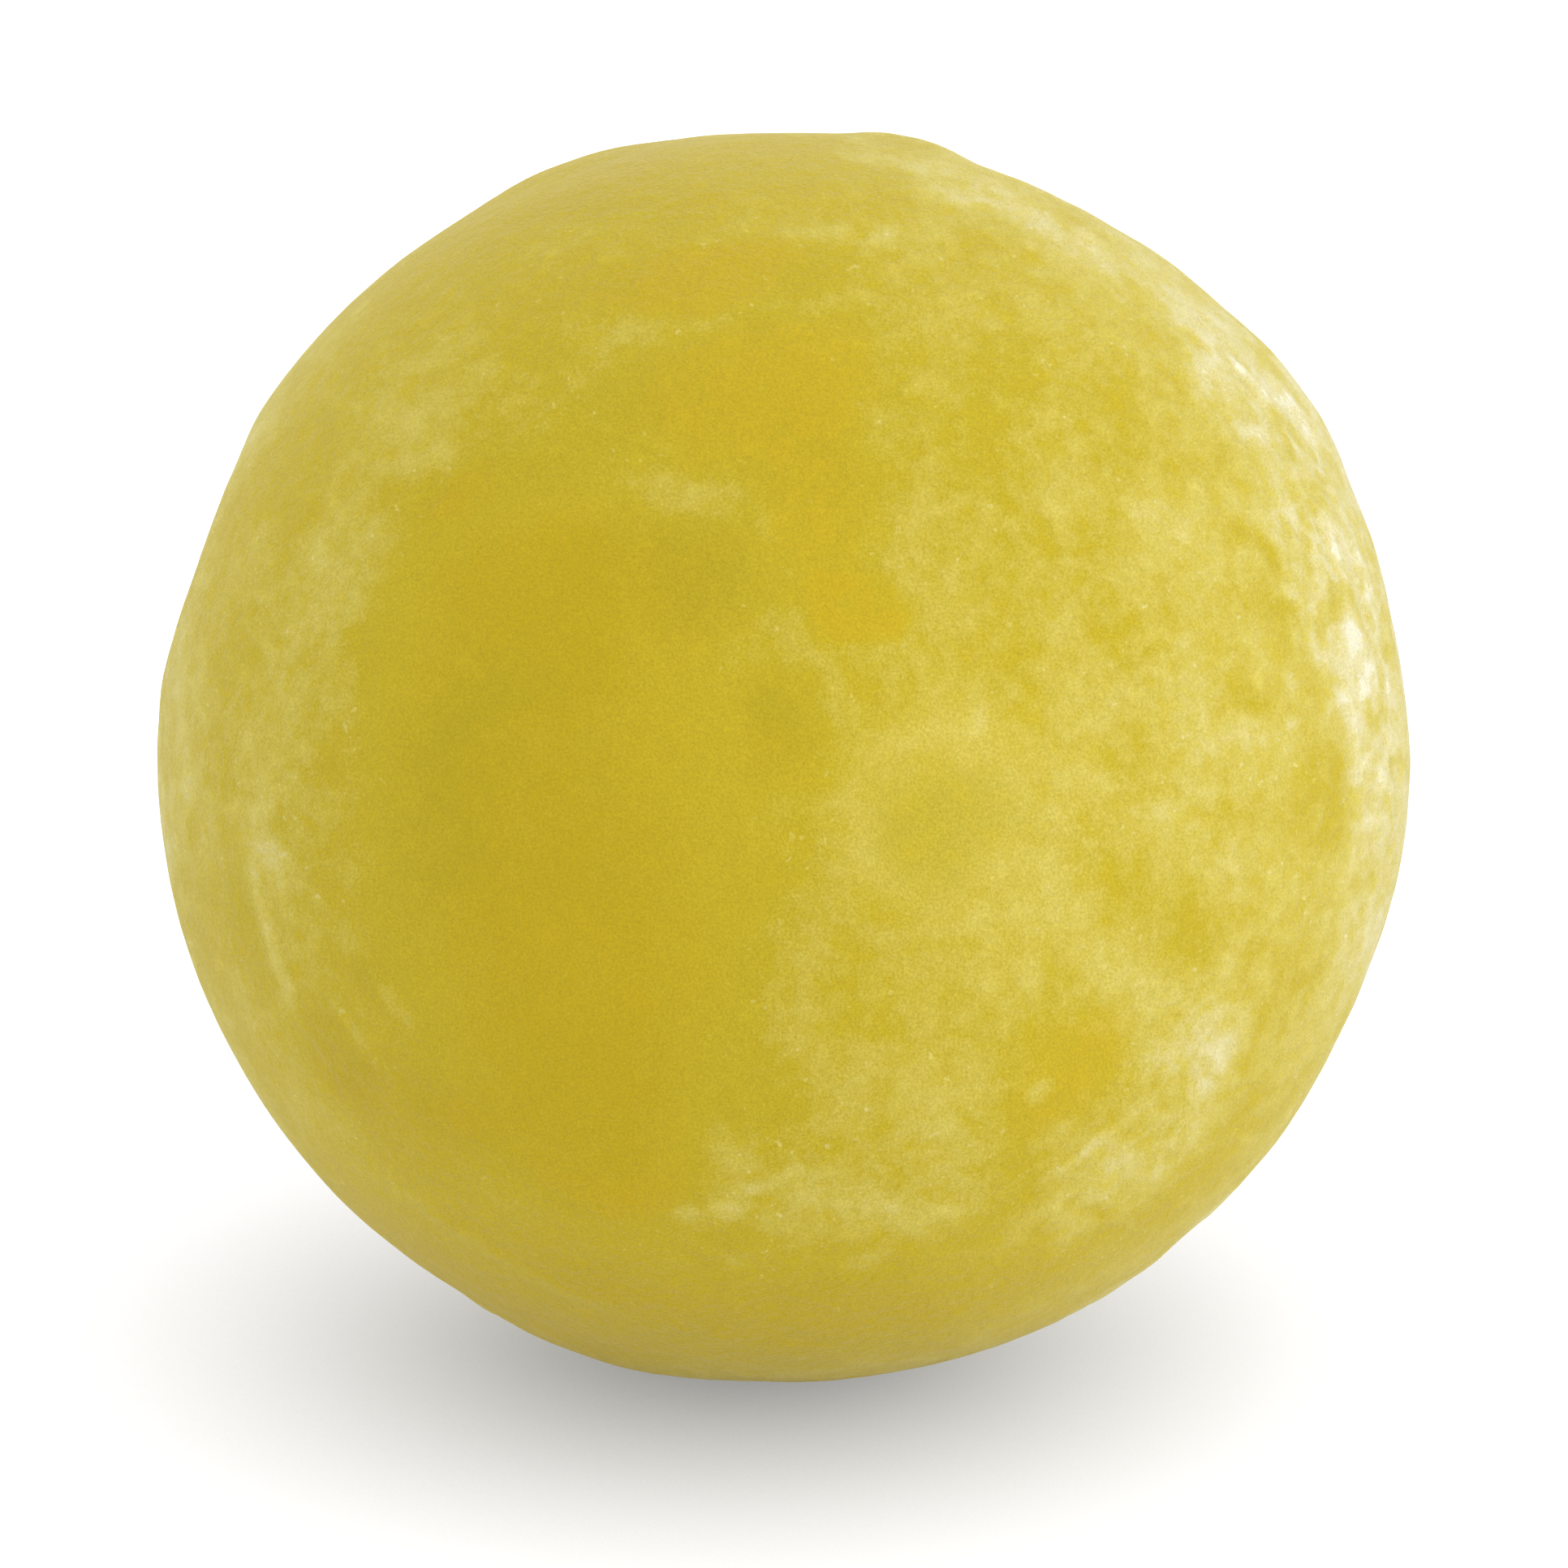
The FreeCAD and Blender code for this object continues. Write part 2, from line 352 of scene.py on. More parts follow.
# %% The marks on the face
FACE_MARKS = [
    # the palm's broad polished print, left of the middle
    mark(-11.5, 6.0, 5.6, 5.0, 70, haze=-0.26, polish=1, press=0.08),
    mark(-9.5, -2.0, 8.0, 7.0, 85, haze=-0.26, polish=1, press=0.10),
    mark(-9.8, -9.5, 7.0, 5.6, 115, haze=-0.28, polish=1, press=0.10),
    mark(-8.5, -15.5, 4.8, 4.0, 100, haze=-0.30, polish=0.8, press=0.06),
    # amber depths, where the skin is thin and clear
    mark(-3.0, 19.8, 4.2, 1.6, 8, haze=-0.25, warmth=0.9, polish=0.2),
    mark(-1.2, 15.2, 4.4, 3.0, 10, haze=-0.24, warmth=1.0, polish=0.3),
    mark(1.2, 11.0, 2.2, 3.4, 0, haze=-0.20, warmth=0.7, polish=0.3),
    mark(2.6, 6.4, 2.2, 1.5, -35, haze=-0.31, warmth=1.0, polish=0.5, edge=0.35),
    mark(-13.4, 10.8, 2.2, 0.9, 25, haze=-0.16, warmth=0.7),
    mark(-11.0, 7.6, 3.6, 1.8, 30, haze=-0.04, warmth=0.4),
    mark(-8.6, -8.6, 4.8, 2.6, 10, haze=0.03, warmth=0.5),
    mark(11.9, -13.2, 3.2, 2.4, 25, haze=-0.28, warmth=0.9, polish=0.2),
    mark(-6.5, -18.2, 3.2, 1.4, 15, haze=-0.14, warmth=0.7),
    mark(-13.4, -15.6, 1.8, 1.3, 0, haze=-0.18, warmth=0.5),
    mark(16.0, -6.5, 2.2, 3.2, 20, haze=-0.22, warmth=0.1),
    mark(21.4, -1.5, 1.0, 2.4, 0, haze=-0.10, warmth=0.2),
    # olive shade
    mark(-4.6, 7.6, 3.4, 1.8, -10, haze=-0.23, warmth=-0.6),
    mark(0.2, 0.9, 1.5, 2.4, 0, haze=-0.29, warmth=-0.7),
    mark(-12.4, 2.6, 3.5, 2.6, 90, haze=0.00, warmth=-0.6),
    mark(-14.5, -4.0, 2.4, 4.2, 0, haze=-0.05, warmth=-0.5),
    mark(-18.4, -12.4, 2.4, 1.8, -40, haze=-0.27, warmth=-0.3),
    # deeper, clearer clay with a little amber all along the bottom, partly painted light: it offsets the
    # shade and grey sheen there
    mark(-1.0, -23.5, 12.0, 4.2, 0, haze=-0.28, warmth=0.2),
    # pale clouds
    mark(-5.0, 10.2, 4.4, 1.2, -12, haze=0.05),
    mark(1.6, 3.6, 1.3, 3.2, 10, haze=0.05),
    mark(6.4, -2.2, 4.3, 3.7, 60, haze=0.10, polish=0.5, edge=0.22, sway=0.6),
    mark(6.9, -3.0, 3.4, 2.9, 20, haze=-0.15, warmth=-1.0, edge=0.5),
    mark(9.0, -4.6, 1.2, 0.7, 10, haze=0.08),
    mark(8.0, 2.0, 2.6, 0.35, 75, haze=0.08, sway=0.5),
    mark(-2.0, -17.6, 4.6, 2.4, 12, haze=0.09),
    mark(4.5, -18.0, 3.4, 2.2, -30, haze=0.08),
    mark(-2.0, -18.9, 0.8, 0.5, 30, haze=0.24, sway=0.3),
    mark(-1.1, -18.0, 0.5, 0.35, 30, haze=0.28, sway=0.2),
    mark(-4.2, -19.0, 0.7, 0.45, -10, haze=0.16, sway=0.3),
    mark(0.4, -17.2, 0.5, 0.3, 40, haze=0.22, sway=0.2),
    mark(2.9, -21.0, 1.1, 0.8, 20, haze=0.24, sway=0.3),
    mark(-1.8, -20.9, 0.6, 0.5, 0, haze=0.20, sway=0.5),
    mark(-13.0, 14.0, 4.0, 2.0, 40, haze=0.01),
    mark(-17.2, 9.0, 6.0, 2.2, 60, haze=0.09),
    mark(5.6, 24.4, 3.2, 1.4, -8, haze=0.26),
    mark(9.4, 22.4, 4.0, 2.0, -28, haze=0.32),
    mark(-3.5, 23.8, 4.0, 0.8, 6, haze=0.06),
    mark(-9.5, 21.0, 3.2, 0.9, 24, haze=0.12, sway=0.7),
    mark(-13.5, 17.0, 3.4, 1.1, 42, haze=0.04),
    mark(3.0, 21.4, 2.4, 0.6, 12, haze=0.18),
    mark(-8.4, 16.0, 1.2, 0.5, 60, haze=0.15, sway=0.5),
    mark(-20.5, 2.0, 6.0, 3.0, 85, haze=0.12),
    mark(-22.6, -4.0, 6.0, 2.6, 95, haze=0.13),
    mark(-19.5, -8.6, 4.2, 2.0, 105, haze=0.09),
    mark(-24.6, -0.6, 1.8, 0.8, 90, haze=0.15, sway=0.5),
    # nail strokes, low on the left
    mark(-21.0, -4.5, 1.3, 0.9, -20, haze=0.20, press=-0.04, sway=0.4),
    mark(-21.1, -7.8, 2.6, 0.45, 100, haze=0.22, press=-0.06, sway=0.2),
    mark(-17.8, -11.2, 1.6, 0.32, 128, haze=0.17, press=-0.05, sway=0.4),
    mark(-16.2, -10.0, 1.4, 0.40, 128, haze=0.20, press=-0.05, sway=0.2),
    mark(-22.4, -6.4, 3.4, 1.4, 100, haze=-0.14, warmth=-0.5, sway=0.3),
    mark(-17.2, -9.2, 1.0, 0.8, 0, haze=-0.16, warmth=-0.5, sway=0.3),
    mark(-21.0, -3.3, 1.1, 0.7, 20, haze=-0.14, warmth=-0.4, sway=0.3),
    # lap along the bottom left, where the skin folded over itself
    mark(-11.0, -21.0, 4.6, 0.5, 148, haze=0.12, press=-0.06, sway=0.5),
    mark(-13.0, -22.0, 6.0, 3.0, 150, haze=-0.12),
    # smear with a crease, low on the right
    mark(16.6, -13.4, 3.0, 2.6, 38, haze=0.16, crinkle=0.6, press=-0.05, sway=0.8),
    mark(17.6, -12.8, 1.2, 0.8, 30, haze=0.11, crinkle=0.8, sway=0.5),
    mark(13.8, -18.0, 3.6, 2.8, 40, haze=0.18, crinkle=0.5, press=-0.04, sway=0.8),
    mark(13.0, -16.0, 2.4, 0.32, 38, haze=0.26, press=-0.05, sway=0.3),
    mark(10.5, -13.9, 0.7, 0.6, 80, haze=0.30, press=-0.05, edge=0.5, sway=0.3),
    mark(17.6, -9.6, 1.6, 0.8, 70, haze=0.07, sway=0.5),
    # puckered skin up the right side
    mark(17.0, 17.0, 4.5, 3.0, -50, haze=0.08, crinkle=0.5),
    mark(21.2, 12.5, 5.5, 3.6, -60, haze=0.18, crinkle=1.0),
    mark(23.0, 6.5, 6.0, 3.4, -80, haze=0.14, crinkle=1.0),
    mark(24.6, 0.5, 5.0, 3.0, -90, haze=0.05, crinkle=0.8),
    mark(24.8, -5.0, 4.0, 2.6, -100, haze=0.05, crinkle=0.4),
    mark(-15.5, -15.0, 5.0, 3.5, -45, haze=-0.18),
    # curls of smeared clay on that pucker, and the clear hollows between them
    mark(17.5, 16.9, 0.9, 0.35, -42, haze=0.26, press=-0.05, sway=0.15),
    mark(19.3, 15.4, 1.4, 0.36, -40, haze=0.38, press=-0.07, sway=0.15),
    mark(20.3, 15.6, 1.5, 0.7, -25, haze=-0.30, sway=0.15),
    mark(21.0, 14.2, 1.8, 0.9, -20, haze=0.22, sway=0.2),
    mark(22.2, 13.2, 1.4, 0.7, -58, haze=0.27, press=-0.05, sway=0.15),
    mark(21.2, 12.2, 2.3, 1.6, -55, haze=-0.24, warmth=-0.3, sway=0.2),
    mark(21.2, 12.7, 0.7, 0.35, -50, haze=0.42, press=-0.06, sway=0.1),
    mark(21.4, 10.5, 1.1, 0.7, -40, haze=-0.20, sway=0.2),
    mark(22.7, 8.6, 1.3, 0.40, -75, haze=0.24, press=-0.06, sway=0.15),
    mark(19.0, 9.1, 1.1, 0.7, 0, haze=-0.18, sway=0.3),
    mark(20.2, 8.0, 1.0, 0.5, -45, haze=-0.22, sway=0.2),
    mark(21.4, 6.3, 1.2, 0.32, -8, haze=0.26, press=-0.04, sway=0.15),
    mark(21.6, 5.4, 1.2, 0.36, -50, haze=0.32, press=-0.06, sway=0.15),
    mark(22.1, 4.1, 0.6, 0.35, 0, haze=0.20, sway=0.1),
    mark(20.4, 5.2, 1.7, 1.0, -60, haze=-0.15, sway=0.3),
    mark(22.8, 6.0, 1.6, 0.5, 90, haze=-0.20, sway=0.2),
    mark(23.4, 5.3, 0.9, 0.55, 0, haze=0.32, press=-0.04, sway=0.15),
    mark(24.2, 6.6, 1.5, 0.6, -80, haze=0.25, sway=0.15),
    mark(24.9, 2.8, 1.2, 0.55, -85, haze=0.22, press=-0.05, sway=0.15),
    mark(23.5, 1.4, 1.2, 0.55, -40, haze=0.28, press=-0.05, sway=0.15),
    mark(21.0, 2.7, 0.6, 0.35, -45, haze=0.22, sway=0.1),
    mark(21.0, 1.3, 0.4, 0.3, 0, haze=0.24, sway=0.1),
    mark(24.6, -1.2, 1.0, 0.45, -80, haze=0.24, sway=0.15),
    mark(23.1, 0.0, 1.3, 0.8, 0, haze=-0.16, sway=0.2),
    mark(22.9, -1.8, 1.7, 0.8, 90, haze=-0.14, sway=0.2),
    # pale, stretched skin all down the right side, partly painted light: the paler right side also holds the
    # light from the right painted in, and the pale bands along the right and left outline are a painted
    # reflection of the white room at a grazing angle; a few marks deepen the clay instead
    # partly painted light: paler skin down the right side, with the light from the right painted in
    mark(17.0, 4.0, 10.0, 7.0, 90, haze=0.18, edge=0.9),
    mark(18.5, -7.0, 7.0, 5.0, 100, haze=0.14, edge=0.9),
    # painted reflection: a pale band along the right outline, where the white room shows at a grazing angle
    mark(26.1, 1.0, 14.0, 9.0, 90, haze=0.52, edge=0.9),
    mark(18.5, 18.5, 10.0, 8.0, -45, haze=0.30, edge=0.9),
    mark(6.0, 25.4, 8.0, 6.0, -10, haze=0.10, edge=0.9),
    # painted reflection: a pale band along the left outline, where the white room shows at a grazing angle
    mark(-26.0, 3.0, 14.0, 6.0, 90, haze=0.32, edge=0.9),
    mark(-7.0, 23.8, 9.0, 6.0, 14, haze=-0.24, edge=0.9),
    mark(-13.0, -22.0, 8.0, 4.5, 150, haze=-0.20, edge=0.9),
    mark(9.0, -8.5, 8.0, 6.5, 60, haze=0.12, polish=0.5, edge=0.9),
    mark(14.0, 16.0, 8.0, 4.5, -45, haze=0.08, edge=0.9),
    mark(5.0, 1.5, 6.5, 6.0, 90, haze=0.08, polish=0.5, edge=0.9),
    mark(12.0, -15.0, 7.0, 5.0, 30, haze=0.10, edge=0.9),
    # corners and flats that show at the outline
    mark(21.5, 15.1, 3.4, 3.4, press=-0.30, sway=0.2),
    mark(9.0, 24.6, 2.4, 2.4, press=0.16, edge=0.6, sway=0.2),
    mark(5.4, 25.6, 2.0, 2.4, press=-0.22, edge=0.6, sway=0.2),
    mark(-0.5, 26.2, 2.4, 2.4, press=0.12, sway=0.2),
    mark(-9.0, 24.6, 3.0, 2.6, press=-0.24, sway=0.2),
    mark(-24.7, 9.0, 3.8, 3.0, 70, press=0.50, sway=0.2),
    mark(-8.0, -25.0, 4.2, 3.0, press=-0.24, sway=0.2),
    mark(11.8, -23.5, 4.5, 2.6, -35, press=-0.08, edge=0.9, sway=0.2),
    mark(24.0, -10.5, 4.4, 3.0, 70, press=0.20, sway=0.2),
    mark(12.8, 22.9, 2.6, 2.6, press=0.14, sway=0.2),
    mark(25.9, 4.6, 3.0, 2.6, 90, press=0.14, sway=0.2),
]
print(len(FACE_MARKS), "marks on the face")

# %% The marks on the far side
HIDDEN_MARKS = 46
FACE_ENDS = 0.08  # how far towards the eye a scattered mark may lie, against the ball's radius
LARGEST_SPREAD = 6.5


def marks_out_of_sight(seed):
    """Marks of the same kinds, scattered over the side of the ball that the list doesn't reach."""
    dice = random.Random(seed)
    found = []
    while len(found) < HIDDEN_MARKS:
        way = Vector([dice.gauss(0, 1) for _ in range(3)]).normalized()
        if way.dot(TOWARDS) > FACE_ENDS:
            continue
        clear = dice.random() < 0.5
        long = dice.uniform(1.2, LARGEST_SPREAD)
        wide = long * dice.uniform(0.35, 0.9)
        haze = dice.uniform(-0.40, -0.15) if clear else dice.uniform(0.12, 0.36)
        warmth = dice.uniform(-0.6, 0.6) if clear else 0.0
        crinkle = 0.0 if clear else max(0.0, dice.uniform(-0.8, 0.9))
        polish = dice.uniform(0.3, 1.0) if clear else 0.0
        press = 0.08 * polish
        qualities = dict(haze=haze, warmth=warmth, polish=polish, crinkle=crinkle, press=press)
        found.append((way, dice.uniform(0, 180), long, wide, 0.8, 1.0, qualities))
    return found


all_marks = FACE_MARKS + marks_out_of_sight(seed=11)
print(len(all_marks), "marks on the whole ball")

# %% [markdown]
# Geometry Nodes can't read a Python list, but they can read points. So each mark becomes one point of a
# small helper mesh that is removed at the end, and what the mark says is kept on the point under names.

# %% Marks as points that a node tree can read
def marks_as_points(marks):
    """A mesh with one point for each mark, measured from the ball's middle."""
    mesh = bpy.data.meshes.new("hand_marks")
    mesh.from_pydata([way * ball_radius for way, *_ in marks], [], [])
    columns = {name: [] for name in ("half_long", "half_wide", "edge", "sway", *QUALITIES)}
    alongs = []
    for way, turn, long, wide, edge, sway, qualities in marks:
        level = RIGHT * math.cos(math.radians(turn)) + UP * math.sin(math.radians(turn))
        along = level - way * level.dot(way)
        alongs.extend(along.normalized())
        columns["half_long"].append(long * MM)
        columns["half_wide"].append(wide * MM)
        columns["edge"].append(edge)
        columns["sway"].append(sway)
        for name in QUALITIES:
            columns[name].append(qualities.get(name, 0.0))
    mesh.attributes.new("along", "FLOAT_VECTOR", "POINT").data.foreach_set("vector", alongs)
    for name, values in columns.items():
        mesh.attributes.new(name, "FLOAT", "POINT").data.foreach_set("value", values)
    points = bpy.data.objects.new("hand_marks", mesh)
    bpy.context.scene.collection.objects.link(points)
    return points


mark_points = marks_as_points(all_marks)
print("attributes:", [a.name for a in mark_points.data.attributes if not a.name.startswith(".")])

# %% [markdown]
# ## Skin, step 1: an even ball
#
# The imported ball's own mesh is long thin triangles, which can't be dented evenly. A cube blown up into a
# ball gives cells of nearly one size with no poles; turning each cell's place by the tangent keeps the
# ones at the cube's corners from shrinking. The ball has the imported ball's middle and stands on the floor,
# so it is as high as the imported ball. It doesn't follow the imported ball's flats or its flat foot: it is
# round all over, and the only flats on it are the ones that the marks press in.

# %% Node group: an even ball
CELLS_ON_AN_EDGE = 127  # six sides of 127 by 127 cells are 193,548 triangles


def even_ball():
    takes = {"Radius": ("number", ball_middle.z), "Cells on an edge": ("count", CELLS_ON_AN_EDGE)}
    steps, taken, given = new_group("even_ball", "GeometryNodeTree", takes, {"Shape": "shape"})
    points_on_edge = steps.math("ADD", taken["Cells on an edge"], 1)
    counts = {f"Vertices {axis}": points_on_edge for axis in "XYZ"}
    cube = steps.add("GeometryNodeMeshCube", {"Size": (2, 2, 2), **counts}, "Mesh")
    place = steps.add("GeometryNodeInputPosition")
    evened = steps.vector("TANGENT", steps.scaled(place, math.pi / 4))
    way = steps.vector("NORMALIZE", evened)
    skin = steps.vector("ADD", tuple(ball_middle), steps.scaled(way, taken["Radius"]))
    rounded = steps.add("GeometryNodeSetPosition", {"Geometry": cube, "Position": skin})
    steps.join(rounded, given["Shape"])
    return steps.tree


print("built", even_ball().name)

# %% [markdown]
# ## Skin, step 2: lay every mark down
#
# A repeat zone takes the marks one by one. For each it asks of every point of the skin: how far are you
# from the mark's middle, along it and across it, counted in the mark's own half sizes? Below one is
# inside. Hands don't leave clean ovals, so the skin's places are first shifted by noise, and the same
# shift gives neighbouring marks edges that belong together.

# %% Node group: lay the marks down
def lay_marks_down():
    takes = {
        "Shape": ("shape", None),
        "Marks": ("object", None),
        "Sway": ("number", 6.0 * MM),
        "Sway size": ("number", 5 * MM),
        "Seed": ("number", 0.0),
    }
    steps, taken, given = new_group("lay_marks_down", "GeometryNodeTree", takes, {"Shape": "shape"})
    place = steps.add("GeometryNodeInputPosition")
    way = steps.vector("NORMALIZE", steps.vector("SUBTRACT", place, tuple(ball_middle)))
    on_ball = steps.scaled(way, ball_radius)
    spots = {"Vector": on_ball, "W": taken["Seed"], "Detail": 5.0, "Roughness": 0.62}
    spots["Scale"] = steps.math("DIVIDE", 1.0, taken["Sway size"])
    cloud = steps.add("ShaderNodeTexNoise", spots, "Color", noise_dimensions="4D")
    shift = steps.scaled(steps.vector("SUBTRACT", cloud, (0.5, 0.5, 0.5)), taken["Sway"])
    shape = taken["Shape"]
    for name, value in (("on_ball", on_ball), ("shift", shift)):
        shape = steps.keep(shape, name, value, "FLOAT_VECTOR")

    points = steps.add("GeometryNodeObjectInfo", {"Object": taken["Marks"]}, "Geometry")
    count = steps.add("GeometryNodeAttributeDomainSize", {"Geometry": points}, "Point Count")
    start = steps.tree.nodes.new("GeometryNodeRepeatInput")
    end = steps.tree.nodes.new("GeometryNodeRepeatOutput")
    start.pair_with_output(end)
    steps.join(count, start.inputs["Iterations"])
    steps.join(shape, start.inputs["Geometry"])
    turn = start.outputs["Iteration"]

    def said(name, kind="FLOAT"):
        """What the mark of this round says under a name."""
        feeds = {"Geometry": points, "Value": steps.kept(name, kind), "Index": turn}
        return steps.add("GeometryNodeSampleIndex", feeds, data_type=kind)

    where = {"Geometry": points, "Value": steps.add("GeometryNodeInputPosition"), "Index": turn}
    centre = steps.add("GeometryNodeSampleIndex", where, data_type="FLOAT_VECTOR")
    outwards = steps.vector("NORMALIZE", centre)
    along = said("along", "FLOAT_VECTOR")
    across = steps.vector("CROSS_PRODUCT", outwards, along)
    shifted = steps.scaled(steps.kept("shift", "FLOAT_VECTOR"), said("sway"))
    swayed = steps.vector("ADD", steps.kept("on_ball", "FLOAT_VECTOR"), shifted)
    gap = steps.vector("SUBTRACT", swayed, centre)
    shares = {
        "X": steps.math("DIVIDE", steps.vector("DOT_PRODUCT", gap, along), said("half_long")),
        "Y": steps.math("DIVIDE", steps.vector("DOT_PRODUCT", gap, across), said("half_wide")),
        "Z": steps.math("DIVIDE", steps.vector("DOT_PRODUCT", gap, outwards), said("half_long")),
    }
    far = steps.vector("LENGTH", steps.add("ShaderNodeCombineXYZ", shares))
    outside = steps.math("ADD", 1.0, said("edge"))
    inside = steps.math("SUBTRACT", 1.0, said("edge"))
    strength = steps.ramp(far, inside, outside, 1.0, 0.0)
    shape = start.outputs["Geometry"]
    for name in QUALITIES:
        more = steps.math("MULTIPLY_ADD", strength, said(name), steps.kept(name))
        shape = steps.keep(shape, name, more)
    steps.join(shape, end.inputs["Geometry"])
    steps.join(end.outputs["Geometry"], given["Shape"])
    return steps.tree


print("built", lay_marks_down().name)

# %% [markdown]
# ## Skin, step 3: raise and lower the skin
#
# Now the skin gets its height. Long low waves are the give of the whole lump. Presses sink it. Puckered
# skin is ridged noise: noise folded at its middle value, which leaves sharp creases with round ridges
# between them. Matt skin keeps a slight pebbling that polishing rubs away. All of it fades out near the
# floor, so that the ball still touches it.

# %% Node group: raise and lower the skin
WAVE_SIZE = 6 * MM
PEBBLE_SIZE = 1.3 * MM
FOLD_SIZE = 3.4 * MM
CREASE_HALF = 0.15  # how far from its middle value the folded noise is still a crease
RIDGE_SHARE = 0.35  # how high a ridge stands, against how deep a crease goes


def raise_the_skin():
    takes = {
        "Shape": ("shape", None),
        "Wave height": ("number", 0.24 * MM),
        "Pucker depth": ("number", 0.13 * MM),
        "Pebble height": ("number", 0.05 * MM),
        "Flat below": ("number", 0.8 * MM),
        "Seed": ("number", 0.0),
    }
    steps, taken, given = new_group("raise_the_skin", "GeometryNodeTree", takes, {"Shape": "shape"})
    place = steps.add("GeometryNodeInputPosition")
    seed = taken["Seed"]
    waves = steps.centred(steps.noise(place, WAVE_SIZE, seed, detail=3))
    height = steps.math("MULTIPLY", waves, taken["Wave height"])
    height = steps.math("MULTIPLY_ADD", steps.kept("press"), -MM, height)
    matt = steps.math("SUBTRACT", 1.0, steps.ramp(steps.kept("polish"), 0.0, 1.0))
    pebbles = steps.centred(steps.noise(place, PEBBLE_SIZE, seed, detail=3, roughness=0.6))
    pebble_height = steps.math("MULTIPLY", matt, taken["Pebble height"])
    height = steps.math("MULTIPLY_ADD", pebbles, pebble_height, height)
    folds = steps.noise(place, FOLD_SIZE, steps.math("ADD", seed, 3.0), detail=2)
    from_crease = steps.math("ABSOLUTE", steps.centred(folds))
    crease = steps.ramp(from_crease, 0.0, CREASE_HALF, -1.0, RIDGE_SHARE)
    pucker = steps.math("MULTIPLY", steps.ramp(steps.kept("crinkle"), 0.0, 1.0), taken["Pucker depth"])
    height = steps.math("MULTIPLY_ADD", crease, pucker, height)
    up = steps.add("ShaderNodeSeparateXYZ", {"Vector": place}, "Z")
    height = steps.math("MULTIPLY", height, steps.ramp(up, 0.0, taken["Flat below"]))

    way = steps.vector("NORMALIZE", steps.vector("SUBTRACT", place, tuple(ball_middle)))
    feeds = {"Geometry": taken["Shape"], "Offset": steps.scaled(way, height)}
    raised = steps.add("GeometryNodeSetPosition", feeds)
    # nothing may reach below the floor, and one metre to each side is far beyond the ball
    standing = steps.vector("MAXIMUM", steps.add("GeometryNodeInputPosition"), (-1.0, -1.0, 0.0))
    settled = steps.add("GeometryNodeSetPosition", {"Geometry": raised, "Position": standing})
    steps.join(settled, given["Shape"])
    return steps.tree


print("built", raise_the_skin().name)

# %% [markdown]
# ## The clay itself
#
# The finish has to say "waxy putty": colour that comes from inside, a bloom that lies on top, and no
# sharp highlight anywhere. The mottling is a shader node group of its own. It takes what the skin kept
# from the hands, breaks it up with clouds of noise down to a tenth of a millimetre, and gives a colour,
# a roughness and a height.
#
# One number, the haze, runs through it. Low haze is clear, deep clay, and high haze is chalky. Rolling
# smears the clay, so the noise is stretched a little along one fixed direction through the ball.

# %% Node group: bloom on clay
CLAY_COLOURS = (
    # place on the colour ramp, and the clay's colour there
    (0.035, paint(196, 171, 4)),  # deep and clear
    (0.28, paint(202, 180, 30)),
    (0.49, paint(215, 198, 90)),  # bloom
    (0.88, paint(233, 223, 168)),  # chalky
    (1.0, paint(243, 237, 205)),  # smeared white
)
RAMP_FOR_HAZE = 0.66  # how far along the ramp a haze of 1 comes
AMBER = paint(214, 178, 12)
OLIVE = paint(180, 166, 20)
TINGE_SHARE = 0.31  # how far amber or olive can replace the clay's own colour
STRETCH = 0.35  # blobs of noise are 1 / (1 - 0.35) times as long in that direction
DRIFT_SIZE = 4 * MM
DRIFT_REACH = 3 * MM  # how far the drift pulls clouds and strokes along
CLOUD_SIZE = 3.6 * MM
WISP_SIZE = 1.0 * MM
STROKE_SIZE = 3.6 * MM
FLECK_SIZE = 0.34 * MM
GRAIN_SIZE = 0.10 * MM


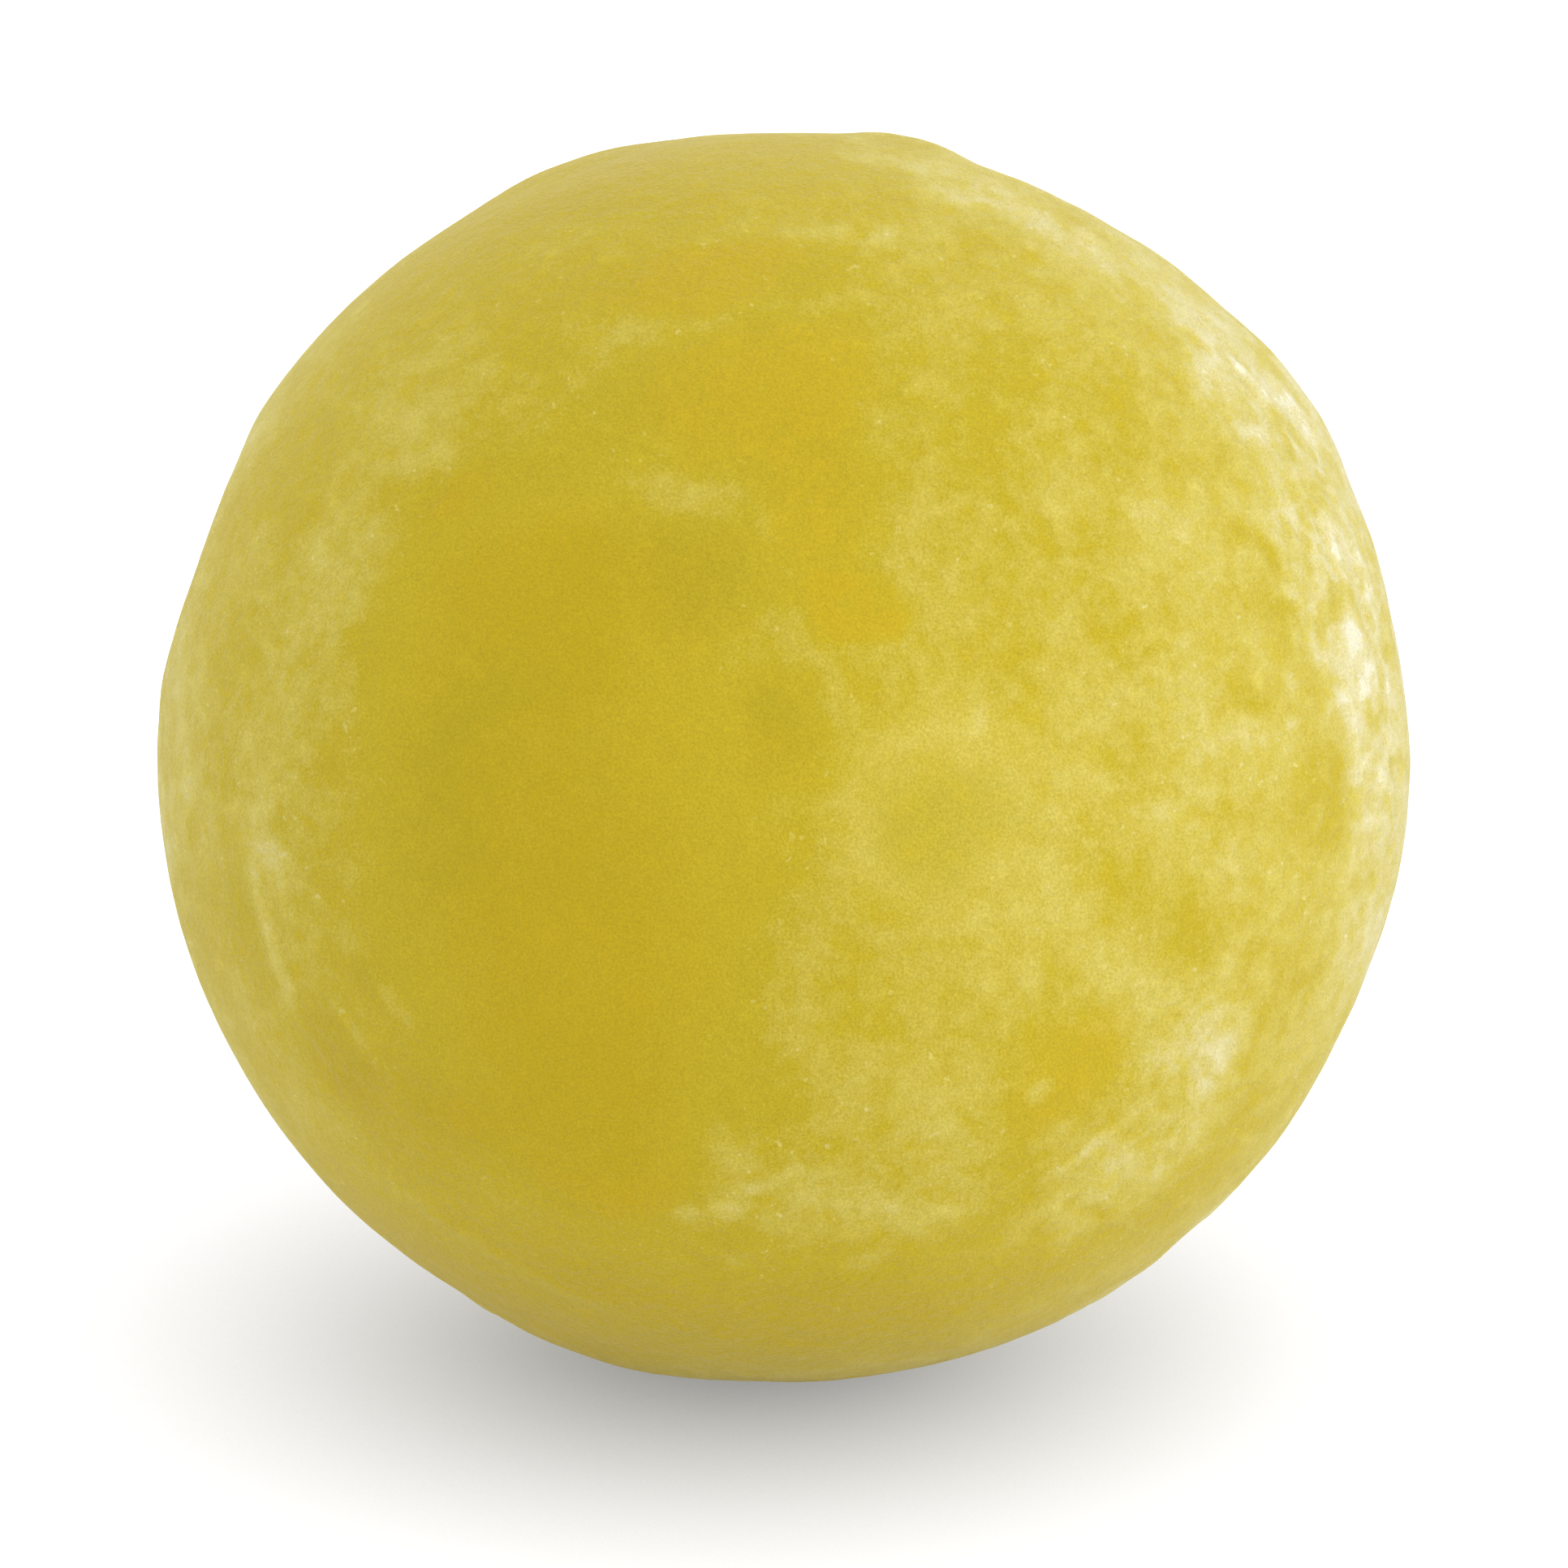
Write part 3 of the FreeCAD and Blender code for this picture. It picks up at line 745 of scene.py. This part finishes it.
def bloom_on_clay():
    takes = {
        "Place": ("vector", None),
        "Haze": ("number", 0.0),
        "Warmth": ("number", 0.0),
        "Polish": ("number", 0.0),
        "Crinkle": ("number", 0.0),
        "Even haze": ("number", 0.46),
        "Clouding": ("number", 1.0),
        "Grain": ("number", 0.19),
    }
    gives = {"Colour": "colour", "Roughness": "number", "Height": "number"}
    steps, taken, given = new_group("bloom_on_clay", "ShaderNodeTree", takes, gives)
    matt = steps.math("SUBTRACT", 1.0, steps.ramp(taken["Polish"], 0.0, 1.0))

    # noise of every size, each about 0
    depth = steps.vector("DOT_PRODUCT", taken["Place"], tuple(TOWARDS))
    squeeze = steps.scaled(tuple(TOWARDS), steps.math("MULTIPLY", depth, -STRETCH))
    place = steps.vector("ADD", taken["Place"], squeeze)
    drift = steps.noise(place, DRIFT_SIZE, 5.0, detail=1, give="Color")
    drift = steps.vector("SUBTRACT", drift, (0.5, 0.5, 0.5))
    pulled = steps.vector("ADD", place, steps.scaled(drift, DRIFT_REACH))
    clouds = steps.noise(pulled, CLOUD_SIZE, 1.0, detail=8, roughness=0.66)
    clouds = steps.ramp(clouds, 0.34, 0.66, -0.5, 0.5)
    wisps = steps.noise(place, WISP_SIZE, 2.0, detail=6, roughness=0.7)
    wisps = steps.ramp(wisps, 0.32, 0.68, -0.5, 0.5)
    grain = steps.centred(steps.noise(place, GRAIN_SIZE, 3.0, detail=1))
    flecks = steps.ramp(steps.noise(place, FLECK_SIZE, 4.0, detail=1), 0.68, 0.78)
    folds = steps.noise(pulled, STROKE_SIZE, 6.0, detail=3, roughness=0.6)
    strokes = steps.ramp(steps.math("ABSOLUTE", steps.centred(folds)), 0.09, 0.0)
    strokes = steps.math("MULTIPLY", strokes, steps.ramp(taken["Crinkle"], 0.0, 1.0))

    # the haze: what the marks say, with feathered edges, and the mottling on top; the marks' haze includes
    # painted light, the pale bands along the outline and the paler right side
    feathered = steps.math("MULTIPLY_ADD", wisps, 0.5, steps.math("MULTIPLY_ADD", clouds, 0.5, 1.0))
    haze = steps.math("MULTIPLY_ADD", taken["Haze"], feathered, taken["Even haze"])
    cloudy = steps.math("MULTIPLY", steps.math("MULTIPLY_ADD", matt, 0.70, 0.30), taken["Clouding"])
    fleck_haze = steps.math("MULTIPLY_ADD", matt, 0.26, 0.08)
    for pattern, amount in (
        (clouds, steps.math("MULTIPLY", cloudy, 0.225)),
        (wisps, steps.math("MULTIPLY", cloudy, 0.165)),
        (grain, taken["Grain"]),
        (strokes, 0.32),
        (flecks, fleck_haze),
    ):
        haze = steps.math("MULTIPLY_ADD", pattern, amount, haze)

    # colour
    along_ramp = steps.math("MULTIPLY", haze, RAMP_FOR_HAZE)
    colour = steps.add("ShaderNodeValToRGB", {"Fac": along_ramp}, "Color")
    stops = colour.node.color_ramp.elements
    stops.remove(stops[-1])
    stops[0].position, stops[0].color = CLAY_COLOURS[0]
    for position, shade in CLAY_COLOURS[1:]:
        stops.new(position).color = shade
    tinge = steps.math("MULTIPLY", taken["Warmth"], steps.math("MULTIPLY_ADD", feathered, 2.4, -1.4))
    warm = steps.math("MULTIPLY", steps.ramp(tinge, 0.05, 1.0), steps.ramp(haze, 0.75, 0.35))
    cool = steps.math("MULTIPLY", steps.ramp(tinge, -0.05, -1.0), steps.ramp(haze, 1.0, 0.5))
    for shade, share in ((AMBER, warm), (OLIVE, cool)):
        feeds = {"Factor": steps.math("MULTIPLY", share, TINGE_SHARE), "A": colour, "B": shade}
        colour = steps.add("ShaderNodeMix", feeds, data_type="RGBA")
    colour = steps.scaled(colour, steps.math("MULTIPLY_ADD", grain, 0.42, 1.0))

    # gloss and relief
    roughness = steps.ramp(haze, 0.1, 0.8, 0.60, 0.80)
    rubbed = steps.math("MULTIPLY_ADD", matt, 0.6, 0.4)
    height = steps.math("MULTIPLY_ADD", wisps, rubbed, steps.math("MULTIPLY", grain, 0.55))
    for name, value in (("Colour", colour), ("Roughness", roughness), ("Height", height)):
        steps.join(value, given[name])
    return steps.tree


print("built", bloom_on_clay().name)

# %% Material: yellow clay
def yellow_clay():
    material, wiring, shader = in_material("yellow_clay")
    feeds = {"Place": wiring.add("ShaderNodeTexCoord", give="Object")}
    for name in ("haze", "warmth", "polish", "crinkle"):
        feeds[name.capitalize()] = wiring.add("ShaderNodeAttribute", give="Fac", attribute_name=name)
    group = bpy.data.node_groups["bloom_on_clay"]
    bloom = wiring.add("ShaderNodeGroup", feeds, "Colour", node_tree=group).node
    wiring.join(bloom.outputs["Colour"], shader["Base Color"])
    wiring.join(bloom.outputs["Roughness"], shader["Roughness"])
    bumps = {"Height": bloom.outputs["Height"], "Strength": 0.8, "Distance": 0.12 * MM}
    wiring.join(wiring.add("ShaderNodeBump", bumps, "Normal"), shader["Normal"])
    wiring.join(1.40, shader["IOR"])
    wiring.join(0.40, shader["Specular IOR Level"])
    wiring.join(0.45, shader["Subsurface Weight"])
    wiring.join((1.0, 0.85, 0.3), shader["Subsurface Radius"])
    wiring.join(1.8 * MM, shader["Subsurface Scale"])
    wiring.join(0.30, shader["Sheen Weight"])
    wiring.join(0.25, shader["Sheen Roughness"])
    return material


clay = yellow_clay()
print("made", clay.name)

# %% [markdown]
# ## Putting the ball together
#
# The main tree strings the three steps together, smooths the shading and gives the clay its material.
# Its sizes are the modifier's inputs, so they can be tried in Blender's own panel. The evaluated result
# is kept as a plain mesh, and the modifier and the helper objects go.

# %% The ball's tree
def kneaded_ball_tree():
    takes = {
        "Shape": ("shape", None),
        "Radius": ("number", ball_middle.z),
        "Marks": ("object", None),
        "Cells on an edge": ("count", CELLS_ON_AN_EDGE),
        "Clay": ("material", None),
        "Seed": ("number", 0.0),
    }
    steps, taken, given = new_group("kneaded_ball", "GeometryNodeTree", takes, {"Shape": "shape"})

    def step(group, feeds):
        return steps.add("GeometryNodeGroup", feeds, node_tree=bpy.data.node_groups[group])

    sized = {"Radius": taken["Radius"], "Cells on an edge": taken["Cells on an edge"]}
    rounded = step("even_ball", sized)
    marked = step("lay_marks_down", {"Shape": rounded, "Marks": taken["Marks"], "Seed": taken["Seed"]})
    raised = step("raise_the_skin", {"Shape": marked, "Seed": taken["Seed"]})
    smooth = steps.add("GeometryNodeSetShadeSmooth", {"Geometry": raised})
    plain = steps.add("GeometryNodeRealizeInstances", {"Geometry": smooth})
    dressed = steps.add("GeometryNodeSetMaterial", {"Geometry": plain, "Material": taken["Clay"]})
    steps.join(dressed, given["Shape"])
    return steps.tree


ball_tree = kneaded_ball_tree()
print("built", ball_tree.name)

# %% The ball
def with_tree(name, tree, values):
    """An object whose mesh the tree makes. Inputs are set by their sockets' identifiers."""
    start = bpy.data.objects.new(name, bpy.data.meshes.new(name))
    bpy.context.scene.collection.objects.link(start)
    modifier = start.modifiers.new(name, "NODES")
    modifier.node_group = tree
    identifiers = {s.name: s.identifier for s in tree.interface.items_tree if s.in_out == "INPUT"}
    for socket_name, value in values.items():
        modifier[identifiers[socket_name]] = value
    return start


inputs = {
    "Radius": ball_middle.z,
    "Marks": mark_points,
    "Clay": clay,
    "Cells on an edge": CELLS_ON_AN_EDGE,
    "Seed": 4.0,
}
growing = with_tree("growing_ball", ball_tree, inputs)
bpy.context.view_layer.update()
grown = growing.evaluated_get(bpy.context.evaluated_depsgraph_get())
ball_mesh = bpy.data.meshes.new_from_object(grown)
ball_mesh.materials.clear()
ball_mesh.materials.append(clay)
for scaffold in ("on_ball", "shift", "press"):
    ball_mesh.attributes.remove(ball_mesh.attributes[scaffold])
ball = bpy.data.objects.new("rolled_clay_ball", ball_mesh)
bpy.context.scene.collection.objects.link(ball)
for helper in (growing, mark_points):
    bpy.data.objects.remove(helper)
print("the ball has", len(ball_mesh.polygons), "faces of", ball_mesh.materials[0].name)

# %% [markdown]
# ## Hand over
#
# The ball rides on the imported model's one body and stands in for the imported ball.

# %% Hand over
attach(ball, "root")
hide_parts("clay_ball")
